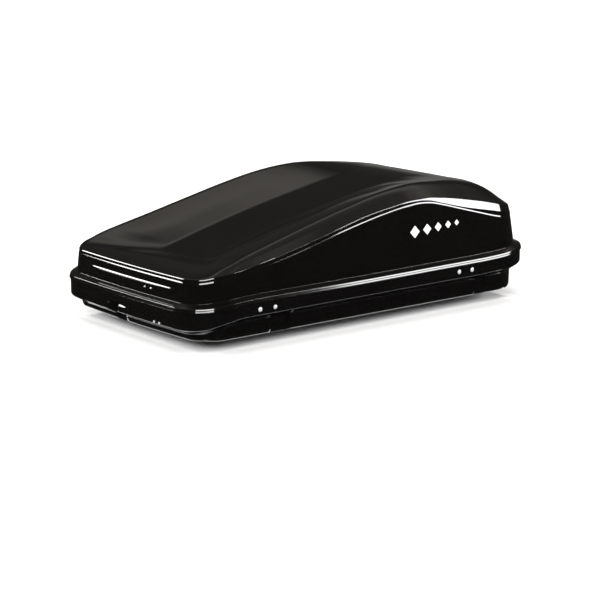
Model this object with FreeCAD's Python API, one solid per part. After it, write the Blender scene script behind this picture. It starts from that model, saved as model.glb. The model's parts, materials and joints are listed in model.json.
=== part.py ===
import FreeCAD, Part
import math
import os

V = FreeCAD.Vector

# Roof cargo box, closed.  +Z up, nose towards -Y, hinge side +X, lock side -X.
# Origin: centre of the flat underside that rests on the crossbars.

# ---- driving dimensions, mm ------------------------------------------------
RIM_HALF_WIDTH = 428.0       # outer face of the base rim band
RIM_NOSE_Y = -733.0          # nose and tail edges before their bow is added
RIM_TAIL_Y = 728.0
NOSE_RADIUS = 130.0          # plan radius of the nose corners
TAIL_RADIUS = 158.0
NOSE_BOW = 14.0              # how far the nose edge bows out at its centre
TAIL_BOW = 19.0
LIP_PROUD = 4.0              # lid lip stands outside the rim band
LIP_SKIN = 3.0
LIP_HEIGHT = 9.0
LID_SKIN = 3.5
TUB_SKIN = 4.0
SEAM_GAP = 1.0
WALL_INSET = 36.0            # tub wall inside the rim band
SLOPE_DROP = 23.0            # height of the slope from band to tub wall
STEP_RUN = 1.7               # the lid wall steps in by this at its moulded line
STEP_RISE = 4.8
FACET_LEAN = 0.32            # inward run per rise of the facet above the step

HINGE_X = 385.0              # lid hinge axis, parallel to Y
HINGE_Z = 88.0
HINGES = (("front", -472.0, 96.0), ("rear", 381.0, 105.0))   # name, y, rivet z
HINGE_RIVET_PITCH = 60.0
PIN_RADIUS = 3.0
RUNNING = 0.06               # radial running clearance

RIVET_RADIUS = 2.4
RIVET_HEAD = 7.5
RIVET_STANDOFF = 0.15

CLAMP_X = 255.0              # crossbar clamps, left and right
CLAMP_Y = (-300.0, 305.0)    # front and rear crossbar
LEG_HALF = 40.0              # half the leg spacing of a U-bolt
ROD_RADIUS = 4.0
LOOP_DEPTH = 34.0            # rod centre below the underside
CLAMP_TRAVEL = 25.0
SLOT_HALF_WIDTH = 5.0
PLATE_Z = TUB_SKIN + 0.3
PLATE_THICK = 5.0
KNOB_Z = PLATE_Z + PLATE_THICK + 0.3
KNOB_HEIGHT = 18.0

LOCK_Z = 182.0               # lock axis, parallel to X, at y = 0
CAM_RADIUS = 18.0
BAR_X = -388.0               # outer face of the lock bar
BAR_THICK = 3.0
BAR_Z = (152.0, 166.0)
BAR_HALF_LENGTH = 520.0
CAM_START = math.radians(-45.0)
HOOK_Y = (-440.0, 80.0, 440.0)
STUD_Z = 104.0
STUD_RADIUS = 4.0

# ---- tables: y, value ------------------------------------------------------
SEAM = ((-760, 101), (-720, 103), (-680, 107), (-640, 112), (-600, 116), (-520, 120),
        (-454, 121), (-136, 122), (80, 124), (246, 126), (446, 128), (541, 131),
        (620, 137), (700, 142), (760, 144))
BAND_LOW = ((-760, 42), (-700, 48), (-640, 66), (-560, 78), (-450, 79), (250, 83),
            (446, 84), (560, 88), (700, 95), (760, 96))
STEP_LINE = ((-720, 188), (-690, 190), (-638, 199), (-568, 204), (-520, 211), (-481, 219),
             (-298, 259), (-131, 302), (33, 337), (130, 352), (195, 357), (240, 354),
             (300, 341), (381, 319), (470, 295), (554, 273), (640, 256), (700, 245))
FACET_LOW = ((-710, 198), (-680, 200), (-638, 209), (-568, 214), (-520, 221), (-481, 229),
             (-298, 270), (-127, 314), (-45, 334), (79, 355), (150, 364), (195, 365),
             (240, 361), (300, 346), (412, 318), (558, 289), (640, 272), (700, 258))
FACET_HIGH = ((-710, 202), (-680, 205), (-638, 214), (-568, 219), (-520, 226), (-481, 234),
              (-298, 275), (-127, 319), (-45, 339), (79, 360), (163, 370), (232, 371),
              (302, 364), (481, 333), (615, 304), (690, 293), (710, 291))
CREST = ((-670, 206), (-640, 214), (-600, 233.5), (-533, 255.5), (-409, 287.5), (-213, 337.5),
         (-78, 370), (77, 402), (173, 413), (230, 416), (272, 415), (350, 408),
         (440, 397), (492, 387), (560, 369), (600, 355), (643, 339), (675, 328))
CREST_HALF_WIDTH = ((-670, 372), (-590, 379), (-533, 378), (-409, 371), (-213, 362),
                    (-78, 356), (77, 345), (173, 337), (272, 325), (350, 317), (440, 308),
                    (675, 300))
RIDGE = ((-620, 208), (-600, 209), (-570, 218), (-540, 230), (-508, 243), (-341, 287),
         (-127, 340), (94, 385), (262, 403), (350, 404), (440, 400), (520, 389),
         (600, 367), (640, 351))
PANEL = ((-520, 207), (-500, 212), (-341, 255), (-127, 308), (94, 354), (262, 384),
         (350, 397), (420, 400), (480, 396), (525, 388))


def curve(table, y):
    """Smooth curve through a table of (y, value), flat beyond its ends."""
    if y <= table[0][0]:
        return float(table[0][1])
    if y >= table[-1][0]:
        return float(table[-1][1])
    last = len(table) - 1
    i = max(k for k in range(last) if table[k][0] <= y)
    slope = [(table[k + 1][1] - table[k][1]) / (table[k + 1][0] - table[k][0]) for k in range(last)]

    def tangent(k):
        if k == 0 or k == last or slope[k - 1] * slope[k] <= 0:
            return slope[min(k, last - 1)] if k in (0, last) else 0.0
        return 2.0 * slope[k - 1] * slope[k] / (slope[k - 1] + slope[k])

    h = table[i + 1][0] - table[i][0]
    t = (y - table[i][0]) / h
    a = table[i][1] * (1 + 2 * t) * (1 - t) ** 2 + table[i + 1][1] * t * t * (3 - 2 * t)
    b = tangent(i) * t * (1 - t) ** 2 - tangent(i + 1) * t * t * (1 - t)
    return a + h * b


# ---- rings: closed level curves of the shells ------------------------------
END_STEPS = 5
CORNER_STEPS = 9
SIDE_STEPS = 34


def bow(x, width, depth):
    return depth * (1.0 - (x / width) ** 2)


def half_plan(width, nose, tail, r_nose, r_tail, bow_nose, bow_tail):
    """Right half of a ring, nose centre to tail centre; width is a function of y."""
    wn = width(nose + r_nose)
    wt = width(tail - r_tail)
    xn = wn - r_nose
    xt = wt - r_tail
    front = [(xn * i / END_STEPS, nose) for i in range(END_STEPS)]
    for i in range(CORNER_STEPS):
        a = math.pi / 2 * i / CORNER_STEPS
        front.append((xn + r_nose * math.sin(a), nose + r_nose * (1 - math.cos(a))))
    side = []
    for i in range(SIDE_STEPS + 1):
        y = nose + r_nose + (tail - r_tail - nose - r_nose) * i / SIDE_STEPS
        side.append((width(y), y))
    back = []
    for i in range(1, CORNER_STEPS):
        a = math.pi / 2 * i / CORNER_STEPS
        back.append((xt + r_tail * math.cos(a), tail - r_tail * (1 - math.sin(a))))
    back += [(xt * (1 - i / END_STEPS), tail) for i in range(END_STEPS + 1)]
    front = [(x, y - bow(x, wn, bow_nose)) for x, y in front]
    back = [(x, y + bow(x, wt, bow_tail)) for x, y in back]
    return front + side + back


def ring(width, nose, tail, r_nose, r_tail, height, bowed=1.0):
    """Right half of a ring in space, as a list of vectors."""
    fn = width if callable(width) else (lambda y: width)
    plan = half_plan(fn, nose, tail, r_nose, r_tail, NOSE_BOW * bowed, TAIL_BOW * bowed)
    return [V(x, y, height(y)) for x, y in plan]


def inset_ring(d, height):
    """Ring parallel to the rim band, d inside it."""
    return ring(RIM_HALF_WIDTH - d, RIM_NOSE_Y + d, RIM_TAIL_Y - d,
                NOSE_RADIUS - d, TAIL_RADIUS - d, height)


def seam(y):
    return curve(SEAM, y)


def band_low(y):
    return curve(BAND_LOW, y)


def belt_width(y):
    return 399.0 - 9.0 * min(1.0, max(0.0, (y - 150.0) / 350.0))


def step_line(y):
    return curve(STEP_LINE, y)


def facet_depth(y):
    return (curve(FACET_HIGH, y) - curve(FACET_LOW, y)) * FACET_LEAN


def belt_ring(inset, height):
    """Ring on the moulded belt of the lid, inset from the top of the side wall."""
    nose = inset(-600.0)
    tail = inset(560.0)
    return ring(lambda y: belt_width(y) - inset(y), -703.0 + nose, 697.0 - tail,
                100.0 - nose, 126.0 - tail, height)


def lid_rings():
    """Outer surface of the lid, from the lip up to the central roof panel."""
    return [
        inset_ring(-LIP_PROUD, seam),
        inset_ring(-LIP_PROUD, lambda y: seam(y) + LIP_HEIGHT),
        ring(403.0, -711.0, 706.0, 106.0, 134.0, lambda y: seam(y) + 28.0),
        belt_ring(lambda y: 0.0, lambda y: step_line(y) - STEP_RISE / 2),
        belt_ring(lambda y: STEP_RUN, lambda y: step_line(y) + STEP_RISE / 2),
        belt_ring(lambda y: STEP_RUN, lambda y: curve(FACET_LOW, y)),
        belt_ring(lambda y: STEP_RUN + facet_depth(y), lambda y: curve(FACET_HIGH, y)),
        ring(lambda y: curve(CREST_HALF_WIDTH, y), -655.0, 655.0, 105.0, 110.0,
             lambda y: curve(CREST, y)),
        ring(250.0, -600.0, 605.0, 62.0, 90.0, lambda y: curve(RIDGE, y), 0.6),
        ring(122.0, -515.0, 520.0, 40.0, 60.0, lambda y: curve(PANEL, y), 0.0),
    ]


def offset_rings(rings, thickness):
    """Rings moved inwards along the surface normal; the first one is left for the caller."""
    out = []
    for k in range(len(rings)):
        row = []
        for i in range(len(rings[k])):
            along = rings[k][min(i + 1, len(rings[k]) - 1)] - rings[k][max(i - 1, 0)]
            normal = V(0, 0, 0)
            for j in (k - 1, k):
                if 0 <= j < len(rings) - 1:
                    n = along.cross(rings[j + 1][i] - rings[j][i])
                    if n.Length > 1e-9:
                        normal = normal + n.normalize()
            if k == len(rings) - 1:
                normal = normal + V(0, 0, 1)
            p = rings[k][i] - normal.normalize() * thickness
            if i in (0, len(rings[k]) - 1):
                p.x = 0.0
            row.append(p)
        out.append(row)
    return out


# ---- edges and faces of a ring ---------------------------------------------
SPLIT_NOSE = END_STEPS - 2
SPLIT_TAIL = END_STEPS + 2 * CORNER_STEPS + SIDE_STEPS + 2


def spline(pts):
    s = Part.BSplineCurve()
    s.interpolate(Points=pts, Parameters=[i / (len(pts) - 1.0) for i in range(len(pts))])
    return s.toShape()


def mirrored(pts):
    return [V(-p.x, p.y, p.z) for p in pts]


def ring_edges(half, straight=False):
    """Four edges: nose, right, tail, left."""
    left = mirrored(half)
    nose = [left[i] for i in range(SPLIT_NOSE, 0, -1)] + half[:SPLIT_NOSE + 1]
    tail = half[SPLIT_TAIL:] + [left[i] for i in range(len(half) - 2, SPLIT_TAIL - 1, -1)]
    ends = [Part.makeLine(e[0], e[-1]) if straight else spline(e) for e in (nose, tail)]
    sides = [spline(s[SPLIT_NOSE:SPLIT_TAIL + 1]) for s in (half, left)]
    return [ends[0], sides[0], ends[1], sides[1]]


def bands(stack):
    """Ruled faces between neighbouring rings of a stack of edge lists."""
    faces = []
    for lower, upper in zip(stack[:-1], stack[1:]):
        faces += [Part.makeRuledSurface(a, b) for a, b in zip(lower, upper)]
    return faces


def solid_of(faces):
    sewn = Part.makeShell(faces)
    sewn.sewShape()
    solid = Part.makeSolid(Part.Shell(sewn.Faces) if sewn.ShapeType != "Shell" else sewn)
    if solid.Volume < 0:
        solid.reverse()
    return solid


def lid_blank():
    outer = lid_rings()
    inner = offset_rings(outer, LID_SKIN)
    inner[0] = inset_ring(-LIP_PROUD + LIP_SKIN, seam)
    last = len(outer) - 1
    stack_out = [ring_edges(r, k == last) for k, r in enumerate(outer)]
    stack_in = [ring_edges(r, k == last) for k, r in enumerate(inner)]
    faces = bands(stack_out) + bands(stack_in) + bands([stack_out[0], stack_in[0]])
    for stack in (stack_out, stack_in):
        faces.append(Part.makeRuledSurface(stack[-1][1], stack[-1][3]))
    return solid_of(faces)


def tub_rings():
    outer = [
        inset_ring(WALL_INSET + 16, lambda y: 0.0),
        inset_ring(WALL_INSET + 6, lambda y: 3.5),
        inset_ring(WALL_INSET + 2, lambda y: 12.0),
        inset_ring(WALL_INSET, lambda y: band_low(y) - SLOPE_DROP),
        inset_ring(0, band_low),
        inset_ring(0, lambda y: seam(y) - SEAM_GAP),
    ]
    inner = [
        inset_ring(WALL_INSET + 18, lambda y: TUB_SKIN),
        inset_ring(WALL_INSET + 10, lambda y: 6.5),
        inset_ring(WALL_INSET + 6, lambda y: 12.5),
        inset_ring(WALL_INSET + 4, lambda y: band_low(y) - SLOPE_DROP + 3.0),
        inset_ring(TUB_SKIN, lambda y: band_low(y) + 2.0),
        inset_ring(TUB_SKIN, lambda y: seam(y) - SEAM_GAP),
    ]
    return outer, inner


def tub_blank():
    outer, inner = tub_rings()
    stack_out = [ring_edges(r) for r in outer]
    stack_in = [ring_edges(r) for r in inner]
    faces = bands(stack_out) + bands(stack_in) + bands([stack_out[-1], stack_in[-1]])
    faces.append(Part.Face(Part.Wire(stack_out[0])))
    faces.append(Part.Face(Part.Wire(stack_in[0])))
    return solid_of(faces)


# ---- small solids ----------------------------------------------------------
def block(x0, x1, y0, y1, z0, z1):
    return Part.makeBox(x1 - x0, y1 - y0, z1 - z0, V(x0, y0, z0))


def rod(radius, start, end):
    axis = end - start
    return Part.makeCylinder(radius, axis.Length, start, axis)


def prism(points, step):
    """Polygon of vectors swept by the vector step."""
    return Part.Face(Part.makePolygon(list(points) + [points[0]])).extrude(step)


def prism_xz(points, y0, y1):
    return prism([V(x, y0, z) for x, z in points], V(0, y1 - y0, 0))


def prism_yz(points, x0, x1):
    return prism([V(x0, y, z) for y, z in points], V(x1 - x0, 0, 0))


def capsule(p, q, half, y0, y1):
    """Flat bar with round ends in the XZ plane, from p to q, between y0 and y1."""
    dx, dz = q[0] - p[0], q[1] - p[1]
    length = math.hypot(dx, dz)
    nx, nz = -dz / length * half, dx / length * half
    corners = [(p[0] + nx, p[1] + nz), (q[0] + nx, q[1] + nz),
               (q[0] - nx, q[1] - nz), (p[0] - nx, p[1] - nz)]
    bar = prism_xz(corners, y0, y1)
    ends = [rod(half, V(c[0], y0, c[1]), V(c[0], y1, c[1])) for c in (p, q)]
    return joined(bar, *ends)


def joined(first, *others):
    return first.fuse(list(others)).removeSplitter()


def wall_x(y, z):
    """Outer half width of the lid's side wall at (y, z)."""
    foot = seam(y) + 28.0
    top = step_line(y) - STEP_RISE / 2
    return 403.0 + (belt_width(y) - 403.0) * (z - foot) / (top - foot)


def end_wall_lean(end, x):
    """Foot height, foot y and outward run per rise of the lid's nose (-1) or tail (+1) wall."""
    foot_y, top_y, depth = (711.0, 703.0, NOSE_BOW) if end < 0 else (706.0, 697.0, TAIL_BOW)
    out = bow(x, 400.0, depth)
    foot = seam(end * (foot_y + out)) + 28.0
    top = step_line(end * (top_y + out)) - STEP_RISE / 2
    return foot, foot_y + out, (top_y - foot_y) / (top - foot)


def end_wall_y(end, x, z):
    """Outer face of the lid's nose or tail wall at (x, z)."""
    foot, foot_y, lean = end_wall_lean(end, x)
    return end * (foot_y + lean * (z - foot))


def rim_end_y(end, x):
    """Outer face of the rim band at the nose (-1) or the tail (+1)."""
    if end < 0:
        return RIM_NOSE_Y - bow(x, RIM_HALF_WIDTH, NOSE_BOW)
    return RIM_TAIL_Y + bow(x, RIM_HALF_WIDTH, TAIL_BOW)


def inward(end, x, lean=0.0):
    """Unit vector into the nose or tail wall, square to its bow and its lean."""
    depth = NOSE_BOW if end < 0 else TAIL_BOW
    return V(-2.0 * depth * x / RIM_HALF_WIDTH ** 2, -end, lean).normalize()


def fitted_plate(corners, thickness):
    """Plate on four points taken round a slightly curved wall, thickened along Y."""
    a, b, c, d = corners
    face = Part.makeRuledSurface(Part.makeLine(a, b), Part.makeLine(d, c))
    return face.extrude(V(0, thickness, 0))


def rivet(outside, inward, grip):
    """Domed rivet: outside is on the outer skin, inward a unit vector, grip the stack height."""
    head = Part.makeSphere(RIVET_HEAD * 1.25, outside + inward * (RIVET_HEAD * 0.75))
    side = RIVET_HEAD * 4
    keep = Part.makeCylinder(side, side, outside, inward * -1)
    dome = head.common(keep)
    shank = rod(RIVET_RADIUS, outside, outside + inward * (grip + 0.2))
    tail = rod(RIVET_RADIUS * 1.7, outside + inward * (grip + 0.1), outside + inward * (grip + 1.5))
    return joined(dome, shank, tail)


def drill(shape, holes, radius):
    """Cut round holes; each hole is (start, end)."""
    return shape.cut([rod(radius, a, b) for a, b in holes])


# ---- base tub --------------------------------------------------------------
FLUTE_DEPTH = 8.0
FLUTE_TOP = 70.0
SIDE_FLUTES = ((-433.0, -356.0), (457.0, 505.0))
NOSE_FLUTE = (-84.0, -29.0)
FLUTE_WALL = 3.6


def flutes(grow):
    """Upright recesses in the tub wall; grow > 0 gives the block that walls one in."""
    x_in = RIM_HALF_WIDTH - WALL_INSET - FLUTE_DEPTH - grow
    low = -5.0 if grow == 0 else 2.0
    shapes = []
    for y0, y1 in SIDE_FLUTES:
        for side in (-1, 1):
            xs = sorted((side * x_in, side * 440.0))
            shapes.append(block(xs[0], xs[1], y0 - grow, y1 + grow, low, FLUTE_TOP + grow))
    y_in = RIM_NOSE_Y + WALL_INSET + FLUTE_DEPTH + grow - NOSE_BOW
    shapes.append(block(NOSE_FLUTE[0] - grow, NOSE_FLUTE[1] + grow, -800.0, y_in,
                        low, FLUTE_TOP + grow))
    return shapes


def base_rivet_spots():
    """Rivets through the rim band: hinge, stay and striker rivets as (point, inward)."""
    hinge = []
    for _, y, z in HINGES:
        for dy in (-0.5, 0.5):
            hinge.append((V(RIM_HALF_WIDTH, y + dy * HINGE_RIVET_PITCH, z), V(-1, 0, 0)))
    stay = []
    for end, low in ((-1, 52.0), (1, 106.0)):
        for dx in (-14.0, 14.0):
            x = STAY_BASE_X + dx
            into = inward(end, x)
            stay.append((V(x, rim_end_y(end, x), low) - into * RIVET_STANDOFF, into))
    striker = []
    for y in HOOK_Y:
        for dy in (-15.0, 15.0):
            striker.append((V(-RIM_HALF_WIDTH, y + dy, STUD_Z), V(1, 0, 0)))
    return hinge, stay, striker


def lid_rivet_spots():
    spots = []
    for end in (-1, 1):
        for dx in (-16.0, 16.0):
            x = STAY_LID_X + dx
            z = STAY_LID_Z[end]
            into = inward(end, x, end_wall_lean(end, x)[2])
            spots.append((V(x, end_wall_y(end, x, z), z) - into * RIVET_STANDOFF, into))
    return spots


def base_tub():
    tub = tub_blank()
    outer, _ = tub_rings()
    stack = [ring_edges(r) for r in outer]
    cap = ring(200.0, -600.0, 600.0, 60.0, 60.0, lambda y: seam(y) - SEAM_GAP, 0.0)
    stack.append(ring_edges(cap, True))
    faces = bands(stack) + [Part.Face(Part.Wire(stack[0]))]
    faces.append(Part.makeRuledSurface(stack[-1][1], stack[-1][3]))
    filled = solid_of(faces)
    for wall in flutes(FLUTE_WALL):
        tub = tub.fuse(wall.common(filled))
    tub = tub.cut(flutes(0.0))
    for spots in base_rivet_spots():
        tub = drill(tub, [(p - d * 5, p + d * 12) for p, d in spots], RIVET_RADIUS + 0.1)
    return tub.cut(bolt_slots())


def bolt_slots():
    """Slots in the floor for the clamp legs, long enough for the clamp's travel."""
    cuts = []
    reach = CLAMP_TRAVEL + ROD_RADIUS + 2.0
    for x in (-CLAMP_X, CLAMP_X):
        for yc in CLAMP_Y:
            for leg in (-LEG_HALF, LEG_HALF):
                y = yc + leg
                ends = reach - SLOT_HALF_WIDTH
                body = block(x - SLOT_HALF_WIDTH, x + SLOT_HALF_WIDTH, y - ends, y + ends, -5, 10)
                rounds = [rod(SLOT_HALF_WIDTH, V(x, y + e, -5), V(x, y + e, 10))
                          for e in (-ends, ends)]
                cuts.append(joined(body, *rounds))
    return cuts


SEAL_PROFILE = ((4.2, -10.0), (4.2, -0.5), (6.0, 5.0), (10.0, 10.5), (15.0, 11.5),
                (17.0, 5.0), (9.0, -1.0), (7.5, -10.0))      # inset from the band, height


def rim_seal():
    """Rubber seal on the inner edge of the rim, one closed section all round."""
    stack = [ring_edges(inset_ring(d, lambda y, h=h: seam(y) + h)) for d, h in SEAL_PROFILE]
    return solid_of(bands(stack + stack[:1]))


# ---- lid -------------------------------------------------------------------
def lid_shell():
    lid = lid_blank()
    x = -wall_x(0.0, LOCK_Z)
    lid = drill(lid, [(V(x - 10, 0, LOCK_Z), V(x + 15, 0, LOCK_Z))], HOUSING_RADIUS + 0.3)
    holes = [(p - d * 5, p + d * 12) for p, d in lid_rivet_spots()]
    return drill(lid, holes, RIVET_RADIUS + 0.1)


DECAL_Y = (170.0, 226.0, 277.0, 323.0, 364.0)
DECAL_HALF = 21.0


def side_decal():
    """Plain row of diamonds, shrinking towards the tail, on both sides of the lid."""
    films = []
    for side in (-1, 1):
        for k, y in enumerate(DECAL_Y):
            h = DECAL_HALF * (1.0 - 0.13 * k)
            z = 262.0 + 0.05 * (y - 170.0)
            spots = [(y - h, z), (y, z + h), (y + h, z), (y, z - h)]
            p = [V(side * (wall_x(a, b) + 0.2), a, b) for a, b in spots]
            face = Part.makeRuledSurface(Part.makeLine(p[0], p[1]), Part.makeLine(p[3], p[2]))
            films.append(face.extrude(V(side * 0.4, 0, 0)))
    return Part.makeCompound(films)


# ---- hinges ----------------------------------------------------------------
EAR_OFFSET = 15.0
EAR_THICK = 3.0


def hinge_bracket(y, z):
    """Plate riveted inside the rim band, with two ears that hold the pin."""
    x_out = RIM_HALF_WIDTH - TUB_SKIN - 0.1
    plate = block(x_out - 3.0, x_out, y - 44.0, y + 44.0, z - 12.0, z + 11.0)
    ears = []
    for side in (-1, 1):
        y0, y1 = sorted((y + side * EAR_OFFSET, y + side * (EAR_OFFSET + EAR_THICK)))
        web = prism_xz([(x_out - 2.5, z - 10.0), (x_out - 2.5, z + 11.0),
                        (HINGE_X, HINGE_Z + 9.0), (HINGE_X, HINGE_Z - 9.0)], y0, y1)
        ears += [web, rod(9.0, V(HINGE_X, y0, HINGE_Z), V(HINGE_X, y1, HINGE_Z))]
    bracket = joined(plate, *ears)
    bracket = drill(bracket, [(V(HINGE_X, y - 30, HINGE_Z), V(HINGE_X, y + 30, HINGE_Z))], PIN_RADIUS)
    rivets = [(V(440.0, y + s * HINGE_RIVET_PITCH, z), V(410.0, y + s * HINGE_RIVET_PITCH, z))
              for s in (-0.5, 0.5)]
    return drill(bracket, rivets, RIVET_RADIUS + 0.1)


def hinge_arm(y):
    """Gooseneck that reaches over the rim to a flange on the lid's side wall."""
    z0, z1 = 166.0, 202.0
    near = [min(wall_x(y - 30.0, z), wall_x(y + 30.0, z)) - LID_SKIN - 0.3 for z in (z0, z1)]
    flange = prism_xz([(near[0], z0), (near[1], z1), (near[1] - 4.0, z1), (near[0] - 4.0, z0)],
                      y - 30.0, y + 30.0)
    path = [(HINGE_X, HINGE_Z), (343.0, 138.0), (362.0, 176.0), (near[0] - 4.0, 184.0)]
    bars = [capsule(a, b, 4.0, y - 12.0, y + 12.0) for a, b in zip(path[:2], path[1:3])]
    last = prism_xz([(path[2][0], 172.0), (near[0] - 2.0, 180.0), (near[1] - 2.0, 188.0),
                     (path[2][0], 180.0)], y - 12.0, y + 12.0)
    boss = rod(9.0, V(HINGE_X, y - 14.0, HINGE_Z), V(HINGE_X, y + 14.0, HINGE_Z))
    arm = joined(flange, boss, last, *bars)
    bore = [(V(HINGE_X, y - 20, HINGE_Z), V(HINGE_X, y + 20, HINGE_Z))]
    return drill(arm, bore, PIN_RADIUS + RUNNING)


def hinge_pin(y):
    shaft = rod(PIN_RADIUS, V(HINGE_X, y - 20.0, HINGE_Z), V(HINGE_X, y + 20.0, HINGE_Z))
    head = rod(5.0, V(HINGE_X, y - 20.5, HINGE_Z), V(HINGE_X, y - 18.2, HINGE_Z))
    return joined(shaft, head)


def rivet_group(spots, grip):
    return Part.makeCompound([rivet(p, d, grip) for p, d in spots])


# ---- folding lid stays -----------------------------------------------------
STAY_BASE_X = 206.0
STAY_LID_X = 118.0
STAY_BASE_Z = {-1: 66.0, 1: 120.0}
STAY_LID_Z = {-1: 140.0, 1: 180.0}
STAY_LOWER_Y = 701.0         # inboard face of the lower arm, from y = 0
STAY_UPPER_Y = 697.0
STAY_THICK = 3.0
STAY_HALF = 8.0


def stay_points(end):
    """Pivots: base, lid, knee.  With the hinge axis they make a parallelogram."""
    base = (STAY_BASE_X, STAY_BASE_Z[end])
    lid = (STAY_LID_X, STAY_LID_Z[end])
    knee = (base[0] + lid[0] - HINGE_X, base[1] + lid[1] - HINGE_Z)
    return base, lid, knee


def span(end, near, far):
    """Y limits of something that runs from near to far, measured from y = 0."""
    return sorted((end * near, end * far))


def stud(end, spot, wall, plane):
    """Boss from the bracket to an arm, with a peened journal through the arm."""
    x, z = spot
    y0 = end * (plane + STAY_THICK + 0.2)
    boss = rod(7.0, V(x, wall, z), V(x, y0, z))
    journal = rod(PIN_RADIUS, V(x, y0, z), V(x, end * (plane - 0.3), z))
    head = rod(5.0, V(x, end * (plane - 0.2), z), V(x, end * (plane - 1.4), z))
    return [boss, journal, head]


def stay_base_bracket(end):
    base, _, _ = stay_points(end)
    low = {-1: 46.0, 1: 99.0}[end]
    high = base[1] + 10.0
    edges = [V(x, rim_end_y(end, x) - end * (TUB_SKIN + 0.3), 0)
             for x in (base[0] - 24.0, base[0] + 24.0)]
    corners = [p + V(0, 0, z) for p, z in zip(edges + edges[::-1], (low, low, high, high))]
    plate = fitted_plate(corners, -end * 3.0)
    shape = joined(plate, *stud(end, base, edges[1].y - end * 1.5, STAY_LOWER_Y))
    _, spots, _ = base_rivet_spots()
    holes = [(p - d * 5, p + d * 12) for p, d in spots if p.y * end > 0]
    return drill(shape, holes, RIVET_RADIUS + 0.1)


def stay_lid_bracket(end):
    _, lid, _ = stay_points(end)
    spots = [(lid[0] - 28.0, lid[1] - 5.0), (lid[0] + 28.0, lid[1] - 5.0),
             (lid[0] + 28.0, lid[1] + 14.0), (lid[0] - 28.0, lid[1] + 14.0)]
    corners = [V(x, end_wall_y(end, x, z) - end * (LID_SKIN + 0.4), z) for x, z in spots]
    plate = fitted_plate(corners, -end * 3.0)
    wall = end_wall_y(end, lid[0], lid[1]) - end * (LID_SKIN + 2.0)
    shape = joined(plate, *stud(end, lid, wall, STAY_UPPER_Y))
    holes = [(p - d * 5, p + d * 14) for p, d in lid_rivet_spots() if p.y * end > 0]
    return drill(shape, holes, RIVET_RADIUS + 0.1)


def stay_lower_arm(end):
    base, _, knee = stay_points(end)
    y0, y1 = span(end, STAY_LOWER_Y, STAY_LOWER_Y + STAY_THICK)
    bar = capsule(base, knee, STAY_HALF, y0, y1)
    bar = drill(bar, [(V(base[0], y0 - 5, base[1]), V(base[0], y1 + 5, base[1]))],
                PIN_RADIUS + RUNNING)
    return drill(bar, [(V(knee[0], y0 - 5, knee[1]), V(knee[0], y1 + 5, knee[1]))], PIN_RADIUS)


def stay_upper_arm(end):
    _, lid, knee = stay_points(end)
    y0, y1 = span(end, STAY_UPPER_Y, STAY_UPPER_Y + STAY_THICK)
    bar = capsule(lid, knee, STAY_HALF, y0, y1)
    bar = drill(bar, [(V(lid[0], y0 - 5, lid[1]), V(lid[0], y1 + 5, lid[1]))],
                PIN_RADIUS + RUNNING)
    return drill(bar, [(V(knee[0], y0 - 5, knee[1]), V(knee[0], y1 + 5, knee[1]))],
                 PIN_RADIUS + 0.3)


def stay_knee_pin(end):
    _, _, knee = stay_points(end)
    x, z = knee
    outer = end * (STAY_LOWER_Y + STAY_THICK)
    inner = end * (STAY_UPPER_Y - 0.3)
    shaft = rod(PIN_RADIUS, V(x, outer, z), V(x, inner, z))
    heads = [rod(5.0, V(x, outer + end * 0.02, z), V(x, outer + end * 1.2, z)),
             rod(5.0, V(x, inner, z), V(x, inner - end * 1.2, z)),
             rod(PIN_RADIUS, V(x, outer, z), V(x, outer + end * 0.5, z))]
    return joined(shaft, *heads)


# ---- lock ------------------------------------------------------------------
HOUSING_RADIUS = 12.0
BARREL_RADIUS = 8.0
STEM_RADIUS = 5.0
CAM_X = -379.0               # inner face of the cam
BARREL_OUT = -406.0


def lock_point(x, angle, radius):
    """Point at a turn angle about the lock axis; angle 0 points straight down."""
    return V(x, radius * math.sin(angle), LOCK_Z - radius * math.cos(angle))


def lock_housing():
    """Barrel housing; its flange is cut to sit just clear of the leaning wall."""
    face = BARREL_OUT + 0.6
    flange = rod(15.0, V(face, 0, LOCK_Z), V(face + 5.0, 0, LOCK_Z))
    wall = lid_blank()
    wall.translate(V(-0.2, 0, 0))
    tube = rod(HOUSING_RADIUS, V(face, 0, LOCK_Z), V(-391.0, 0, LOCK_Z))
    bore = [(V(-410, 0, LOCK_Z), V(-380, 0, LOCK_Z))]
    skirt = max(flange.cut(wall).Solids, key=lambda solid: -solid.BoundBox.XMin)
    return drill(joined(skirt, tube), bore, BARREL_RADIUS + RUNNING)


def lock_nut():
    corners = [(19.0 * math.cos(math.pi / 3 * k), LOCK_Z + 19.0 * math.sin(math.pi / 3 * k))
               for k in range(6)]
    nut = prism_yz(corners, -396.9, -392.5)
    return drill(nut, [(V(-410, 0, LOCK_Z), V(-380, 0, LOCK_Z))], HOUSING_RADIUS + 0.05)


def lock_barrel():
    head = rod(BARREL_RADIUS, V(BARREL_OUT, 0, LOCK_Z), V(-391.2, 0, LOCK_Z))
    stem = rod(STEM_RADIUS, V(-391.5, 0, LOCK_Z), V(CAM_X + 0.5, 0, LOCK_Z))
    keyway = block(BARREL_OUT - 1, -389.0, -1.2, 1.2, LOCK_Z - 3.6, LOCK_Z + 3.6)
    return joined(head, stem).cut(keyway)


def key():
    blade = block(BARREL_OUT - 2.0, -390.0, -1.0, 1.0, LOCK_Z - 3.3, LOCK_Z + 3.3)
    notches = [block(x, x + 1.6, -2, 2, LOCK_Z + 2.2, LOCK_Z + 4) for x in (-401.0, -397.5, -394.0)]
    grip = rod(12.0, V(BARREL_OUT - 13.0, -1.4, LOCK_Z), V(BARREL_OUT - 13.0, 1.4, LOCK_Z))
    hole = rod(3.0, V(BARREL_OUT - 19.0, -5, LOCK_Z), V(BARREL_OUT - 19.0, 5, LOCK_Z))
    return joined(blade, grip).cut(notches + [hole])


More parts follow.
